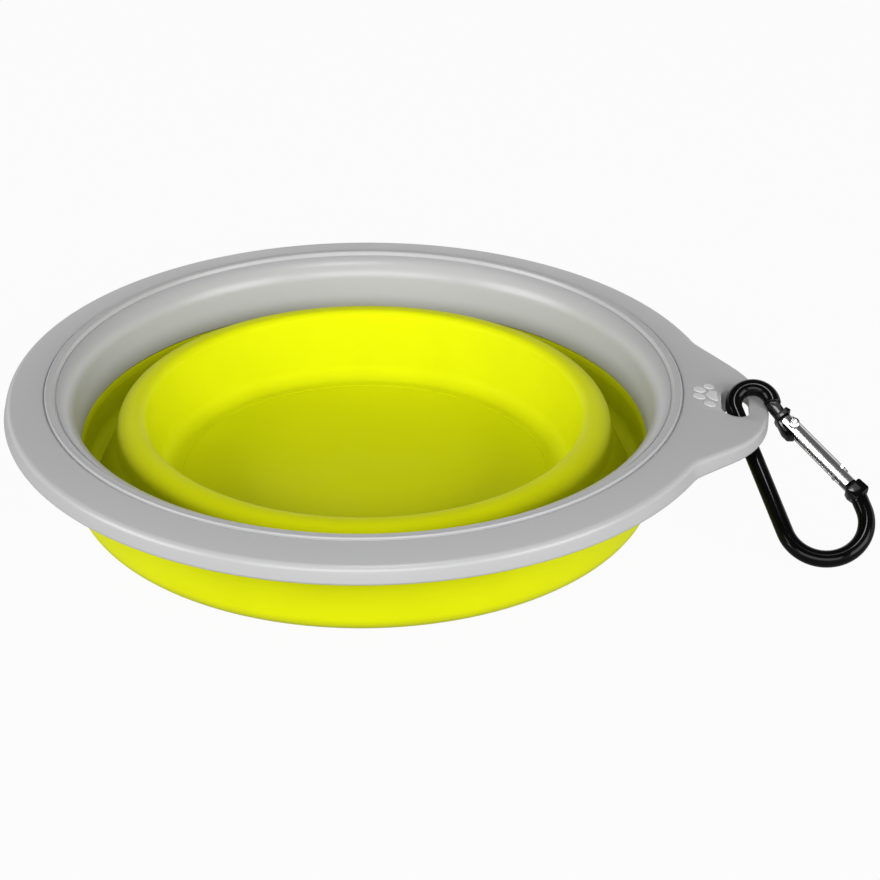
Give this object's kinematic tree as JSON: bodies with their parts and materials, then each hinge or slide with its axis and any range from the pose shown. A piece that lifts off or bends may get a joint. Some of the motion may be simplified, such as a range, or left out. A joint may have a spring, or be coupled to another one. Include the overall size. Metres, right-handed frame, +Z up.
{
  "type": "collapsible travel bowl",
  "caption": "Round collapsible travel bowl folded flat, with a stiff rim, a soft folding wall, a slotted hanging tab and a snap hook with a sprung gate.",
  "frame": {"origin": "centre of the base's flat underside, on the surface that the bowl stands on", "axes": "+Z up along the bowl's axis, +X towards the hanging tab and its snap hook"},
  "size_m": [0.2163, 0.179, 0.0308],
  "materials": {
    "rim_grey": "satin moulded",
    "soft_green": "satin soft moulded",
    "floor_green": "satin moulded",
    "hook_black": "gloss black",
    "bright_metal": "bright plated"
  },
  "bodies": {
    "base": {"base_cup": "soft_green", "base_plate": "floor_green", "fold_wall": "soft_green"},
    "rim": {"rim_frame": "rim_grey", "rim_liner": "rim_grey", "upper_wall": "soft_green"},
    "hook": {"carabiner_body": "hook_black", "gate_rivet": "bright_metal"},
    "gate": {"carabiner_gate": "bright_metal", "gate_spring": "bright_metal"},
    "plunger": {"gate_plunger": "bright_metal"}
  },
  "joints": [
    {"name": "rim_lift", "type": "slide", "parent": "base", "child": "rim", "axis": [0, 0, 1], "range_m": [0, 0.034], "deforming": ["fold_wall"]},
    {"name": "carabiner_swing", "type": "hinge", "parent": "rim", "child": "hook", "pos_m": [0.0968, 0, 0.0246], "axis": [1, 0, 0], "range_deg": [0, 108]},
    {"name": "gate_open", "type": "hinge", "parent": "hook", "child": "gate", "pos_m": [0.10667, -0.00297, 0.02245], "axis": [0, 0.5864, -0.81], "range_deg": [0, 26], "stiffness_Nm_per_rad": 0.1, "springref_deg": -28.65},
    {"name": "plunger_slide", "type": "slide", "parent": "gate", "child": "plunger", "axis": [0.6884, -0.5875, -0.4254], "range_m": [0, 0.00085], "deforming": ["gate_spring"]}
  ],
  "couplings": [
    {"joint": "plunger_slide", "follows": "gate_open", "m_per_rad": 0.00176}
  ]
}
